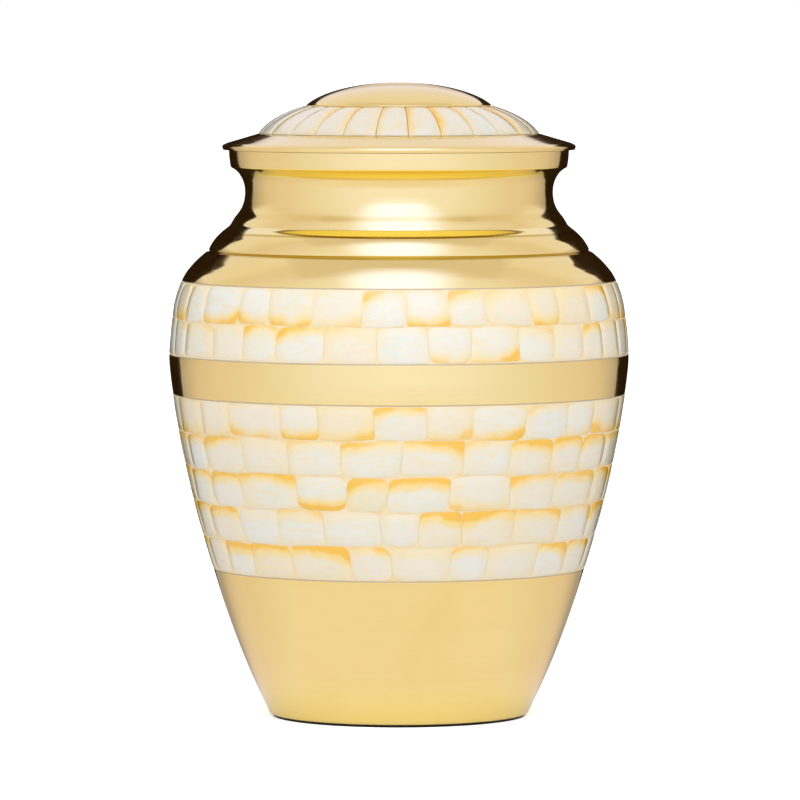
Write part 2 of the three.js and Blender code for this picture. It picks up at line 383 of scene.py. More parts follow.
# Felt pad
# A thin disc of dark felt is glued under the foot, so that the brass does not scratch what it stands on.
# Its cut edge shows as a dark line a little inside the edge of the brass.
pad_low, pad_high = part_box("base_pad")
PAD_RADIUS = pad_high.x
PAD_THICKNESS = pad_high.z - pad_low.z
PAD_SIDES = 128
PAD_EDGE = 0.3 * MM
PAD_RINGS = (6, 12, 14, 10)
FELT_DARK = (0.006, 0.005, 0.0045, 1)
FELT_FIBRE = (0.03, 0.026, 0.022, 1)
FELT_TUFT = (0.014, 0.012, 0.011, 1)
bpy.ops.object.select_all(action="DESELECT")
bpy.ops.mesh.primitive_cylinder_add(
    vertices=PAD_SIDES, radius=PAD_RADIUS, depth=PAD_THICKNESS, location=(0, 0, PAD_THICKNESS / 2)
)
pad = bpy.context.active_object
pad.name = "felt_pad"
bpy.ops.object.mode_set(mode="EDIT")
bpy.ops.mesh.select_mode(type="EDGE")
bpy.ops.mesh.select_all(action="DESELECT")
bpy.ops.mesh.edges_select_sharp(sharpness=math.radians(60))
bpy.ops.mesh.bevel(offset=PAD_EDGE, segments=3, affect="EDGES")
bpy.ops.mesh.select_all(action="DESELECT")
bpy.ops.mesh.select_mode(type="FACE")
bpy.ops.object.mode_set(mode="OBJECT")
for face in pad.data.polygons:
    face.select = len(face.vertices) == PAD_SIDES
bpy.ops.object.mode_set(mode="EDIT")
for ring_width in PAD_RINGS:
    bpy.ops.mesh.inset(thickness=ring_width * MM, use_individual=True)
bpy.ops.object.mode_set(mode="OBJECT")
bpy.ops.object.transform_apply(location=True, rotation=True, scale=True)
bpy.ops.object.shade_smooth_by_angle(angle=SMOOTH_ANGLE)


def felt_finish():
    """Pressed felt: dark, matted fibres in two sizes with a dull nap."""
    material = bpy.data.materials.new("dark_felt")
    material.use_nodes = True
    tree = material.node_tree
    surface = tree.nodes["Principled BSDF"]
    place = add_node(tree, "ShaderNodeTexCoord").outputs["Object"]
    fibres = noise(tree, place, 1800.0, 6.0, 1.6)
    tufts = noise(tree, place, 260.0, 3.0, 0.8)
    color = blend_colors(tree, fibres, FELT_DARK, FELT_FIBRE)
    color = blend_colors(tree, spread(tree, tufts, 0.35, 0.7, 0.0, 0.45), color, FELT_TUFT)
    matting = calculate(tree, "ADD", fibres, calculate(tree, "MULTIPLY", tufts, 1.5))
    bump = add_node(tree, "ShaderNodeBump", inputs={"Strength": 0.8, "Distance": 0.00015, "Height": matting})
    tree.links.new(color, surface.inputs["Base Color"])
    tree.links.new(spread(tree, fibres, 0.2, 0.8, 0.85, 1.0), surface.inputs["Roughness"])
    tree.links.new(bump.outputs["Normal"], surface.inputs["Normal"])
    surface.inputs["Sheen Weight"].default_value = 0.15
    surface.inputs["Specular IOR Level"].default_value = 0.2
    return material


pad.data.materials.append(felt_finish())
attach(pad, "root")
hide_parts("base_pad")

# Rows of shell tiles
# Small slabs sawn from mother-of-pearl, ground to a soft pillow and bedded in resin in the two bands.
# Each is cut by hand, so widths, joints and row lines wander a little, and many keep an amber edge.
TILE_PROUD = 0.2
TILE_THICKNESS = 1.5
TILE_PILLOW = 0.12
TILE_JOINT = 0.05
TILE_WIDTH_SPREAD = 0.28
TILE_TRIM = 0.45
TILE_ROUND = 0.7
JOINT_LEAN = 0.6
ROW_WAVE = 0.28
ROW_SWELLS = 7
ROW_RIPPLES = 17
ROW_RIPPLE = 0.6
RESIN_PROUD = -0.07
RESIN_DEPTH = 1.2
BED_MARGIN = 0.145
ROW_MARGIN = 0.12
BAND_MARGIN = -0.35
NEAR_BAND_END = 0.5
# Node, tiles in the row, bearing of one joint from the front in degrees, how often amber is on top,
# and how rich it is
TILE_ROWS = [
    ("upper_pearl_row_1", 32, 1.9, 0.3, 0.55),
    ("upper_pearl_row_2", 32, -5.4, 0.85, 0.6),
    ("lower_pearl_row_1", 26, 7.0, 0.2, 0.6),
    ("lower_pearl_row_2", 26, 0.7, 0.9, 0.85),
    ("lower_pearl_row_3", 25, -3.0, 0.85, 0.9),
    ("lower_pearl_row_4", 25, 5.5, 0.85, 0.95),
    ("lower_pearl_row_5", 23, -2.2, 0.9, 1.1),
]


def model_slab(name, columns, rows, width, thickness, corner, edge):
    """One slab, 1 high: a box with rounded corners, cut into a grid, with a soft edge round its face."""
    bpy.ops.object.select_all(action="DESELECT")
    bpy.ops.mesh.primitive_cube_add(size=1)
    slab = bpy.context.active_object
    slab.name = name
    bpy.ops.object.mode_set(mode="EDIT")
    bpy.ops.mesh.select_all(action="SELECT")
    bpy.ops.transform.resize(value=(width, 1, thickness))
    bpy.ops.transform.translate(value=(0, 0, -thickness / 2))
    bpy.ops.mesh.select_all(action="DESELECT")
    bpy.ops.object.mode_set(mode="OBJECT")
    points = slab.data.vertices
    for rib in slab.data.edges:
        start, end = (points[index].co for index in rib.vertices)
        rib.select = abs(start.z - end.z) > thickness / 2
    bpy.ops.object.mode_set(mode="EDIT")
    bpy.ops.mesh.select_mode(type="EDGE")
    bpy.ops.mesh.bevel(offset=corner, segments=2, affect="EDGES")
    for column in range(1, columns):
        bpy.ops.mesh.select_all(action="SELECT")
        bpy.ops.mesh.bisect(plane_co=((column / columns - 0.5) * width, 0, 0), plane_no=(1, 0, 0))
    for row in range(1, rows):
        bpy.ops.mesh.select_all(action="SELECT")
        bpy.ops.mesh.bisect(plane_co=(0, row / rows - 0.5, 0), plane_no=(0, 1, 0))
    bpy.ops.mesh.select_all(action="DESELECT")
    bpy.ops.object.mode_set(mode="OBJECT")
    for face in slab.data.polygons:
        face.select = face.normal.z > 0.9
    bpy.ops.object.mode_set(mode="EDIT")
    bpy.ops.mesh.select_mode(type="FACE")
    bpy.ops.mesh.region_to_loop()
    bpy.ops.mesh.bevel(offset=edge, segments=2, affect="EDGES")
    bpy.ops.object.mode_set(mode="OBJECT")
    bpy.ops.object.shade_smooth_by_angle(angle=math.radians(50))
    return slab


def mix(low, high, share):
    """The value a share of the way from one to another."""
    return low + (high - low) * share


def lay_slab(slab, width, place, lot):
    """A copy of a slab with each point put where place says, from its shares across and up and its depth."""
    mesh = slab.data.copy()
    shares = []
    for point in mesh.vertices:
        shares.append((point.co.x / width + 0.5, point.co.y + 0.5))
        point.co = place(shares[-1][0], shares[-1][1], point.co.z)
    face_map = mesh.uv_layers.new(name="slab_face")
    for loop in mesh.loops:
        face_map.data[loop.index].uv = shares[loop.vertex_index]
    lots = mesh.attributes.new("slab_lot", "FLOAT_COLOR", "POINT")
    for point in mesh.vertices:
        lots.data[point.index].color = lot
    copy = bpy.data.objects.new(slab.name + "_copy", mesh)
    bpy.context.collection.objects.link(copy)
    return copy


def join_pieces(name, parts):
    """Several meshes joined into one named piece."""
    bpy.ops.object.select_all(action="DESELECT")
    for part in parts:
        part.select_set(True)
    bpy.context.view_layer.objects.active = parts[0]
    bpy.ops.object.join()
    parts[0].name = name
    return parts[0]


SHELL_TONES = [
    (0.0, (0.66, 0.69, 0.70, 1)), (0.2, (0.69, 0.685, 0.62, 1)), (0.5, (0.71, 0.655, 0.52, 1)),
    (0.8, (0.74, 0.635, 0.43, 1)), (1.0, (0.76, 0.61, 0.33, 1)),
]
SHELL_PLAY = [(0.3, (1.0, 0.94, 0.88, 1)), (0.5, (1.0, 1.0, 1.0, 1)), (0.7, (0.88, 0.97, 0.93, 1))]
SHELL_HEART = (0.69, 0.695, 0.67, 1)
SHELL_RIM = (0.75, 0.655, 0.44, 1)
GROWTH_CREAM = (0.75, 0.62, 0.37, 1)
LAYER_WHITE = (0.74, 0.74, 0.70, 1)
HONEY = (0.78, 0.6, 0.25, 1)
AMBER = (0.77, 0.46, 0.05, 1)
GROWTH_SLANT = 0.4
TONE_SHIFT = 47.0


def color_steps(tree, value, stops):
    """A value turned into colours that run from one stop to the next."""
    ramp = add_node(tree, "ShaderNodeValToRGB", inputs={"Fac": value})
    steps = ramp.color_ramp.elements
    steps.remove(steps[1])
    for number, (position, color) in enumerate(stops):
        step = steps.new(position) if number else steps[0]
        step.position = position
        step.color = color
    return ramp.outputs["Color"]


def nacre_group():
    """Mother-of-pearl: a pale heart in each slab, amber on one side, growth lines and a play of colour."""
    inputs = {"Shade": "Color", "Growth": "Float", "Upright": "Float", "Sideways": "Float", "Arch": "Float"}
    group, entry, leave = new_group("nacre", inputs, FINISH_OUTPUTS)
    place = add_node(group, "ShaderNodeTexCoord").outputs["Object"]
    face = add_node(group, "ShaderNodeUVMap", uv_map="slab_face").outputs["UV"]
    face_axes = add_node(group, "ShaderNodeSeparateXYZ", inputs={"Vector": face}).outputs
    lot = add_node(group, "ShaderNodeAttribute", attribute_name="slab_lot")
    lot_parts = add_node(group, "ShaderNodeSeparateColor", inputs={"Color": lot.outputs["Color"]}).outputs
    tone = lot_parts["Red"]
    strength = lot_parts["Green"]
    side = calculate(group, "MULTIPLY_ADD", lot_parts["Blue"], 2.0, -1.0)
    lean = calculate(group, "MULTIPLY_ADD", lot.outputs["Alpha"], 2.0, -1.0)
    across = calculate(group, "SUBTRACT", face_axes["X"], 0.5)
    up = calculate(group, "SUBTRACT", face_axes["Y"], 0.5)

    wander = calculate(group, "SUBTRACT", noise(group, place, 150.0, 2.0), 0.5)
    heart_x = calculate(group, "DIVIDE", calculate(group, "MULTIPLY_ADD", lean, 0.07, across), 0.56)
    heart_y = calculate(group, "DIVIDE", calculate(group, "MULTIPLY_ADD", side, 0.1, up), 0.5)
    from_heart = level_reach(group, {"X": heart_x, "Y": heart_y})
    reach = calculate(group, "MULTIPLY_ADD", wander, 0.7, from_heart)
    rim = spread(group, reach, 0.5, 1.1)
    upward = calculate(group, "MULTIPLY", up, calculate(group, "MULTIPLY", side, entry["Upright"]))
    sideward = calculate(group, "MULTIPLY", across, calculate(group, "MULTIPLY", lean, entry["Sideways"]))
    arch = calculate(group, "MULTIPLY", calculate(group, "POWER", across, 2.0), entry["Arch"])
    toward = calculate(group, "ADD", calculate(group, "ADD", upward, sideward), arch)
    toward = calculate(group, "MULTIPLY_ADD", wander, 0.32, toward)
    toward = calculate(group, "MULTIPLY_ADD", strength, 0.07, toward)
    honeyed = calculate(group, "MULTIPLY", spread(group, toward, 0.16, 0.56), strength)
    amber = calculate(group, "MULTIPLY", spread(group, toward, 0.4, 0.62), strength)

    tilt = calculate(group, "MULTIPLY", lean, GROWTH_SLANT)
    slant = calculate(group, "MULTIPLY_ADD", face_axes["X"], tilt, face_axes["Y"])
    growth_inputs = {
        "X": calculate(group, "MULTIPLY", face_axes["X"], 1.6),
        "Y": calculate(group, "MULTIPLY", slant, entry["Growth"]),
        "Z": calculate(group, "MULTIPLY", tone, TONE_SHIFT),
    }
    growth_place = add_node(group, "ShaderNodeCombineXYZ", inputs=growth_inputs).outputs[0]
    growth = noise(group, growth_place, 1.0, 5.0, 1.4)
    layers = noise(group, growth_place, 4.5, 4.0, 2.2)
    play = noise(group, place, 75.0, 3.0, 1.2)

    shell = color_steps(group, tone, SHELL_TONES)
    heart = calculate(group, "SUBTRACT", 1.0, rim)
    shell = blend_colors(group, calculate(group, "MULTIPLY", heart, 0.5), shell, SHELL_HEART)
    shell = blend_colors(group, 0.5, shell, color_steps(group, play, SHELL_PLAY), "MULTIPLY")
    shell = blend_colors(group, spread(group, growth, 0.45, 0.72, 0.0, 0.6), shell, GROWTH_CREAM)
    shell = blend_colors(group, spread(group, layers, 0.5, 0.75, 0.0, 0.25), shell, LAYER_WHITE)
    shell = blend_colors(group, calculate(group, "MULTIPLY", rim, 0.5), shell, SHELL_RIM)
    streaks = spread(group, growth, 0.25, 0.7, 0.75, 1.2)
    color = blend_colors(group, calculate(group, "MULTIPLY", honeyed, streaks), shell, HONEY)
    color = blend_colors(group, calculate(group, "MULTIPLY", amber, streaks), color, AMBER)
    color = blend_colors(group, 1.0, color, entry["Shade"], "MULTIPLY")
    rough = spread(group, layers, 0.25, 0.75, 0.14, 0.28)
    height = calculate(group, "ADD", growth, calculate(group, "MULTIPLY", layers, 0.5))
    for socket, value in (("Color", color), ("Roughness", rough), ("Height", height)):
        group.links.new(value, leave[socket])
    return group


nacre = nacre_group()


def nacre_finish(name, shade, growth, upright, sideways, arch):
    """Polished shell: the nacre group's colour under a clear gloss, with a thin film for its shimmer."""
    material = bpy.data.materials.new(name)
    material.use_nodes = True
    tree = material.node_tree
    surface = tree.nodes["Principled BSDF"]
    shell = add_node(tree, "ShaderNodeGroup", node_tree=nacre)
    values = {"Shade": shade, "Growth": growth, "Upright": upright, "Sideways": sideways, "Arch": arch}
    for socket, value in values.items():
        shell.inputs[socket].default_value = value
    bump = add_node(tree, "ShaderNodeBump", inputs={"Strength": 0.25, "Distance": 0.0002})
    tree.links.new(shell.outputs["Height"], bump.inputs["Height"])
    tree.links.new(shell.outputs["Color"], surface.inputs["Base Color"])
    tree.links.new(shell.outputs["Roughness"], surface.inputs["Roughness"])
    tree.links.new(bump.outputs["Normal"], surface.inputs["Normal"])
    surface.inputs["Coat Weight"].default_value = 0.35
    surface.inputs["Coat Roughness"].default_value = 0.05
    surface.inputs["Thin Film Thickness"].default_value = 380.0
    surface.inputs["Thin Film IOR"].default_value = 1.5
    return material


RESIN_CREAM = (0.74, 0.63, 0.42, 1)
RESIN_HONEY = (0.76, 0.57, 0.27, 1)
BAND_DIRT = (0.44, 0.37, 0.26, 1)
DIRT_WIDTH = 0.2
DIRT_EASE = 0.15


def resin_finish():
    """Bedding resin: honey-coloured and cloudy, with a grey-brown line of dirt along each band's edges."""
    material = bpy.data.materials.new("bedding_resin")
    material.use_nodes = True
    tree = material.node_tree
    surface = tree.nodes["Principled BSDF"]
    place = add_node(tree, "ShaderNodeTexCoord").outputs["Object"]
    clouds = noise(tree, place, 140.0, 4.0, 0.7)
    color = blend_colors(tree, spread(tree, clouds, 0.35, 0.65), RESIN_CREAM, RESIN_HONEY)
    edges = []
    for low, high in BAND_ENDS:
        edges.append((low - 1, low + DIRT_WIDTH, DIRT_EASE, BAND_DIRT))
        edges.append((high - DIRT_WIDTH, high + 1, DIRT_EASE, BAND_DIRT))
    color = tint_levels(tree, color, edges)
    bump = add_node(tree, "ShaderNodeBump", inputs={"Strength": 0.3, "Distance": 0.0001, "Height": clouds})
    tree.links.new(color, surface.inputs["Base Color"])
    tree.links.new(spread(tree, clouds, 0.2, 0.8, 0.3, 0.5), surface.inputs["Roughness"])
    tree.links.new(bump.outputs["Normal"], surface.inputs["Normal"])
    return material


TILE_RICHNESS = (0.1, 0.6, 1.0, 1.3, 1.6, 1.9)


def shell_lot(draws, amber_on_top, richness):
    """One slab's own chances: tone, amber strength, amber on top or below, and its lean to one side."""
    tone = draws.choice((draws.uniform(0.0, 0.3), draws.uniform(0.2, 0.6), draws.uniform(0.5, 1.0)))
    strength = richness * draws.choice(TILE_RICHNESS)
    on_top = 1.0 if draws.random() < amber_on_top else 0.0
    return (tone, strength, on_top, draws.random())


def tile_row(node, count, front_joint, amber_on_top, richness, draws):
    """One row: a ring of resin with hand-cut tiles laid side by side on it."""
    low_corner, high_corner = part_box(node)
    bed_low = low_corner.z / MM - BED_MARGIN
    bed_high = high_corner.z / MM + BED_MARGIN
    at_band_foot = any(abs(bed_low - ends[0]) < NEAR_BAND_END for ends in BAND_ENDS)
    at_band_head = any(abs(bed_high - ends[1]) < NEAR_BAND_END for ends in BAND_ENDS)
    low = low_corner.z / MM - (BAND_MARGIN if at_band_foot else ROW_MARGIN)
    high = high_corner.z / MM + (BAND_MARGIN if at_band_head else ROW_MARGIN)
    row_height = high - low
    row_radius = line_radius(wall, (low + high) / 2)

    def row_line(height, angle, straight):
        wave = math.sin(ROW_SWELLS * angle + height)
        wave += ROW_RIPPLE * math.sin(ROW_RIPPLES * angle + 2 * height)
        return height if straight else height + ROW_WAVE * wave

    widths = [draws.uniform(1 - TILE_WIDTH_SPREAD, 1 + TILE_WIDTH_SPREAD) for _ in range(count)]
    turn = math.tau / sum(widths)
    start = math.radians(front_joint - 90)
    joints = []
    for index in range(count):
        lean = draws.uniform(-JOINT_LEAN, JOINT_LEAN) / row_radius
        joints.append((start - lean, start + lean))
        start += widths[index] * turn
    joints.append((joints[0][0] + math.tau, joints[0][1] + math.tau))
    half_joint = TILE_JOINT / 2 / row_radius
    tiles = []
    for left, right in zip(joints, joints[1:]):
        trims = [draws.uniform(0, TILE_TRIM) ** 2 / TILE_TRIM for _ in range(4)]
        rounds = [draws.uniform(0, TILE_ROUND) ** 2 / TILE_ROUND for _ in range(4)]

        def place(across, up, depth, left=left, right=right, trims=trims, rounds=rounds):
            off_middle = (2 * up - 1) ** 2 / row_radius
            start_angle = mix(left[0], left[1], up) + half_joint + rounds[0] * off_middle
            end_angle = mix(right[0], right[1], up) - half_joint - rounds[1] * off_middle
            angle = mix(start_angle, end_angle, across)
            to_corner = (2 * across - 1) ** 2
            bottom = row_line(low, angle, at_band_foot) + mix(trims[0], trims[1], across)
            top = row_line(high, angle, at_band_head) - mix(trims[2], trims[3], across)
            height = mix(bottom + rounds[2] * to_corner, top - rounds[3] * to_corner, up)
            pillow = TILE_PILLOW * (1 - 16 * across * (1 - across) * up * (1 - up))
            radius = line_radius(wall, height) + TILE_PROUD + depth * row_height - pillow
            return (radius * math.cos(angle) * MM, radius * math.sin(angle) * MM, height * MM)

        lot = shell_lot(draws, amber_on_top, richness)
        tiles.append(lay_slab(draws.choice(tile_slabs), TILE_WIDTH, place, lot))
    faces = [(radius + RESIN_PROUD, height) for radius, height in stretch(wall, bed_low, bed_high)]
    backs = [(radius - RESIN_DEPTH, height) for radius, height in stretch(wall, bed_low, bed_high)]
    for tile in tiles:
        tile.data.materials.append(tile_nacre)
    bedding = turn_outline("bedding", faces + backs[::-1], closed=True)
    bedding.data.materials.append(resin)
    row = join_pieces(node.replace("pearl", "shell"), tiles + [bedding])
    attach(row, "root")
    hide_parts(node)


TILE_WIDTH = 1.5
TILE_GRID = (4, 3)
TILE_CORNERS = (0.06, 0.13, 0.21)
TILE_EDGE = 0.014
TILE_SHADE = (0.995, 0.965, 0.9, 1)
TILE_SEED = 7
LOWER_ROWS = 5
ROW_PITCH = (BAND_ENDS[0][1] - BAND_ENDS[0][0]) / LOWER_ROWS
tile_slabs = []
for corner in TILE_CORNERS:
    slab = model_slab("tile_slab", *TILE_GRID, TILE_WIDTH, TILE_THICKNESS / ROW_PITCH, corner, TILE_EDGE)
    tile_slabs.append(slab)
tile_nacre = nacre_finish("tile_nacre", TILE_SHADE, growth=7.0, upright=1.0, sideways=0.38, arch=0.4)
resin = resin_finish()
row_draws = random.Random(TILE_SEED)
for node, count, front_joint, amber_on_top, richness in TILE_ROWS:
    tile_row(node, count, front_joint, amber_on_top, richness, row_draws)
for slab in tile_slabs:
    bpy.data.objects.remove(slab)

# Brass lid
# The lid is turned from brass like the vessel: a low dome, a seat for the ring of shell strips, a sloping
# flange with a rolled lip that overhangs the collar, and a plug underneath that goes into the neck.
LID_GAP = 0.05
LID_UNDERSIDE = RIM_HEIGHT + LID_GAP
LID_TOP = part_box("lid")[1].z / MM
LID_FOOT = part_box("lid")[0].z / MM
LIP_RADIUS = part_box("lid")[1].x / MM
DOME_WIDTH = 38.9
DOME_DEPTH = 14.2
DOME_EDGE = 35.75
PLUG_RADIUS = 56.5
PLUG_BORE = 54.3
CROWN_FOOT = Vector((54.3, 226.2))
CROWN_BEND = Vector((50.0, 232.9))
CROWN_HEAD = Vector((36.0, 236.97))
SEAT_DEPTH = 1.8
SEAT_FOOT = (53.0, 225.0)
SEAT_HEAD = (35.2, 235.35)
FLANGE_FOOT = (66.95, 222.4)
FLANGE_HEAD = (54.4, 226.1)
FLANGE_ROUNDING = 0.15
DOME_ROUNDING = 0.2
LIP_FOOT_RADIUS = 68.1
BEAD_RADIUS = 1.0
BEAD_HEIGHT = 221.0
BEAD_TURNS = range(-30, 96, 10)
HOLLOW = [
    (PLUG_BORE, 219.9), (50.85, 224.0), (45.5, 228.7), (34.9, 233.0), (17.8, 242.0), (0, LID_TOP - 2.3),
]


def crown_point(share, depth):
    """A point on the line that the strips' faces follow, or so far under it, from flange to dome."""
    place = CROWN_FOOT * (1 - share) ** 2 + CROWN_BEND * 2 * share * (1 - share) + CROWN_HEAD * share ** 2
    run = (CROWN_BEND - CROWN_FOOT) * (1 - share) + (CROWN_HEAD - CROWN_BEND) * share
    run.normalize()
    return place + Vector((-run.y, run.x)) * depth


def dome_point(share):
    """A point on the dome's ellipse, from its edge to its top."""
    edge_angle = math.asin(DOME_EDGE / DOME_WIDTH)
    angle = edge_angle * (1 - share)
    return (DOME_WIDTH * math.sin(angle), LID_TOP - DOME_DEPTH + DOME_DEPTH * math.cos(angle))


seat = [tuple(crown_point(step / 8, SEAT_DEPTH)) for step in range(9)]
dome = [dome_point(step / 24) for step in range(25)]
bead = []
for angle in BEAD_TURNS:
    turn = math.radians(angle)
    bead_radius = LIP_RADIUS + BEAD_RADIUS * (math.cos(turn) - 1)
    bead.append((bead_radius, BEAD_HEIGHT + BEAD_RADIUS * math.sin(turn)))
lid_outline = (
    smooth_line(HOLLOW, 3)[::-1]
    + [(PLUG_BORE, LID_FOOT), (PLUG_RADIUS, LID_FOOT)]
    + [(PLUG_RADIUS, LID_UNDERSIDE), (LIP_FOOT_RADIUS, LID_UNDERSIDE)]
    + bead
    + rounded(bead[-1], FLANGE_FOOT, FLANGE_HEAD, FLANGE_ROUNDING)
    + [mix(Vector(FLANGE_FOOT), Vector(FLANGE_HEAD), step / 6)[:] for step in range(1, 6)]
    + rounded(FLANGE_FOOT, FLANGE_HEAD, SEAT_FOOT, FLANGE_ROUNDING)
    + [SEAT_FOOT]
    + seat
    + [SEAT_HEAD]
    + rounded(SEAT_HEAD, dome[0], dome[2], DOME_ROUNDING)
    + dome[1:]
)
lid = turn_outline("brass_lid", lid_outline)
# The underside is painted brown: painted shade under the lip and over the plug
LID_UNDERSIDE_PAINTED_SHADE = (0.34, 0.24, 0.06, 1)
BROWN_MARGIN = 0.04
BROWN_EASE = 0.1
LID_PAINTED_SHADE = [(LID_FOOT - 1, LID_UNDERSIDE + BROWN_MARGIN, BROWN_EASE, LID_UNDERSIDE_PAINTED_SHADE)]
lid.data.materials.append(brass_finish("lid_brass", BRASS_BRIGHT, BRASS_TARNISHED, RING_DEPTH, LID_PAINTED_SHADE))
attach(lid, "root")
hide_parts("lid")

# Lid strips
# Tapered strips of mother-of-pearl stand side by side round the dome, each ground to a shallow flute.
# They are bedded on the lid's seat, and amber shell shows along many of their joints.
STRIP_COUNT = 26
STRIP_TURN = math.radians(4.3)
STRIP_FLUTE = 0.16
STRIP_CROWN = 0.08
STRIP_JOINT = 0.02
STRIP_THICKNESS = 1.4
STRIP_LENGTH = 24.6
STRIP_WIDTH = 0.47
STRIP_CORNER = 0.02
STRIP_EDGE = 0.005
STRIP_LEAN = 0.012
# The strips' colour is darkened all over: painted shade, since their ring faces up and takes more light than
# the tiles
STRIP_PAINTED_SHADE = (0.89, 0.84, 0.76, 1)
STRIP_RICHNESS = (0.15, 0.6, 1.0, 1.3)
STRIP_GRID = (4, 8)
STRIP_SEED = 11


def lid_strip(number, draws):
    """One strip, bent over the crown of the lid between two joints."""
    left = STRIP_TURN + (number - 0.5) * math.tau / STRIP_COUNT + leans[number]
    right = STRIP_TURN + (number + 0.5) * math.tau / STRIP_COUNT + leans[(number + 1) % STRIP_COUNT]

    def place(across, up, depth):
        flute = STRIP_CROWN - STRIP_FLUTE * (2 * across - 1) ** 2
        rise = -depth * STRIP_LENGTH - flute
        radius, height = crown_point(up, rise)
        half_joint = STRIP_JOINT / 2 / radius
        angle = mix(left + half_joint, right - half_joint, across)
        return (radius * math.cos(angle) * MM, radius * math.sin(angle) * MM, height * MM)

    tone = draws.triangular(0.0, 0.75, 0.3)
    strength = draws.choice(STRIP_RICHNESS)
    amber_side = draws.choice((0.0, 1.0))
    strip = lay_slab(strip_slab, STRIP_WIDTH, place, (tone, strength, 1.0, amber_side))
    strip.name = "shell_strip_%02d" % (number + 1)
    strip.data.materials.append(strip_nacre)
    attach(strip, "root")
    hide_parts("lid_strip_%02d" % (number + 1))


strip_slab = model_slab(
    "strip_slab", *STRIP_GRID, STRIP_WIDTH, STRIP_THICKNESS / STRIP_LENGTH, STRIP_CORNER, STRIP_EDGE
)
strip_nacre = nacre_finish("strip_nacre", STRIP_PAINTED_SHADE, growth=3.0, upright=0.3, sideways=1.0, arch=0.0)
strip_draws = random.Random(STRIP_SEED)
leans = [strip_draws.uniform(-STRIP_LEAN, STRIP_LEAN) for _ in range(STRIP_COUNT)]
for number in range(STRIP_COUNT):
    lid_strip(number, strip_draws)
bpy.data.objects.remove(strip_slab)

# Studio
# A plain pale floor in an even white room, with a soft light overhead in front. A dark card behind, with
# its foot laid forward on the floor, gives the brass its dark edges. The camera is far off, just above.
FLOOR_SIZE = 60.0
FLOOR_COLOR = (0.9, 0.9, 0.9, 1)
FLOOR_GLOW = 0.45
# Painted shade and painted warm bounce light on the floor near the vessel, as the brass mirrors it
FLOOR_NEAR_PAINTED_SHADE = (0.99, 0.95, 1.25)
FLOOR_PAINTED_BOUNCE = (1.0, 0.98, 0.88, 1)
FLOOR_SHADOW = (0.052, 0.075)
FLOOR_FADE = (0.25, 0.6)
ROOM_LIGHT = 1.8
LEAST_REACH = 0.06
# The room as polished metal shows it, from straight in front (0) round to straight behind (1)
ROOM_ROUND = [
    (0.0, (1.09, 1.13, 1.74)), (0.1, (1.04, 1.05, 1.59)), (0.18, (1.0, 1.0, 1.39)),
    (0.3, (0.95, 0.93, 1.22)), (0.5, (0.9, 0.83, 1.04)), (0.61, (0.87, 0.8, 0.96)),
    (0.73, (0.81, 0.71, 0.77)), (0.82, (0.63, 0.56, 0.58)), (0.9, (0.42, 0.37, 0.35)),
]


def room_share(color):
    """A colour as a share of the room's light."""
    return [part / ROOM_LIGHT for part in color] + [1]


def room_round(tree, axes, reach):
    """The room's colour by bearing, evened out straight above and below, and that bearing."""
    bearing = calculate(tree, "DIVIDE", axes["Y"], calculate(tree, "MAXIMUM", reach, LEAST_REACH))
    from_front = calculate(tree, "MULTIPLY_ADD", bearing, 0.5, 0.5)
    stops = [(position, room_share(color)) for position, color in ROOM_ROUND]
    return color_steps(tree, from_front, stops), bearing


bpy.ops.object.select_all(action="DESELECT")
bpy.ops.mesh.primitive_plane_add(size=FLOOR_SIZE, location=(0, 0, 0))
floor = bpy.context.active_object
floor.name = "floor"
pale = bpy.data.materials.new("pale_floor")
pale.use_nodes = True
floor_tree = pale.node_tree
floor_surface = floor_tree.nodes["Principled BSDF"]
floor_place = add_node(floor_tree, "ShaderNodeTexCoord").outputs["Object"]
floor_axes = add_node(floor_tree, "ShaderNodeSeparateXYZ", inputs={"Vector": floor_place}).outputs
floor_reach = level_reach(floor_tree, floor_axes)
far_color = room_round(floor_tree, floor_axes, floor_reach)[0]
floor_sight = add_node(floor_tree, "ShaderNodeLightPath").outputs
glow = calculate(floor_tree, "MULTIPLY", floor_sight["Is Camera Ray"], FLOOR_GLOW)
floor_tree.links.new(glow, floor_surface.inputs["Emission Strength"])
floor_surface.inputs["Emission Color"].default_value = (1, 1, 1, 1)
floor_surface.inputs["Base Color"].default_value = FLOOR_COLOR
floor_surface.inputs["Roughness"].default_value = 0.8
# In reflections the floor glows in the room's colours, and near the vessel it is dimmed and warmed: painted
# shade and painted warm bounce light
near_painted_color = blend_colors(floor_tree, 1.0, far_color, room_share(FLOOR_NEAR_PAINTED_SHADE), "DARKEN")
near_painted_color = blend_colors(floor_tree, 1.0, near_painted_color, FLOOR_PAINTED_BOUNCE, "MULTIPLY")
fade = spread(floor_tree, floor_reach, *FLOOR_FADE)
shown_color = blend_colors(floor_tree, fade, near_painted_color, far_color)
mirrored = add_node(floor_tree, "ShaderNodeEmission", inputs={"Color": shown_color, "Strength": ROOM_LIGHT})
clear = spread(floor_tree, floor_reach, *FLOOR_SHADOW)
far = calculate(floor_tree, "MULTIPLY", floor_sight["Is Glossy Ray"], clear)
floor_layers = {0: far, 1: floor_surface.outputs[0], 2: mirrored.outputs[0]}
shown = add_node(floor_tree, "ShaderNodeMixShader", inputs=floor_layers)
floor_tree.links.new(shown.outputs[0], floor_tree.nodes["Material Output"].inputs["Surface"])
floor.data.materials.append(pale)

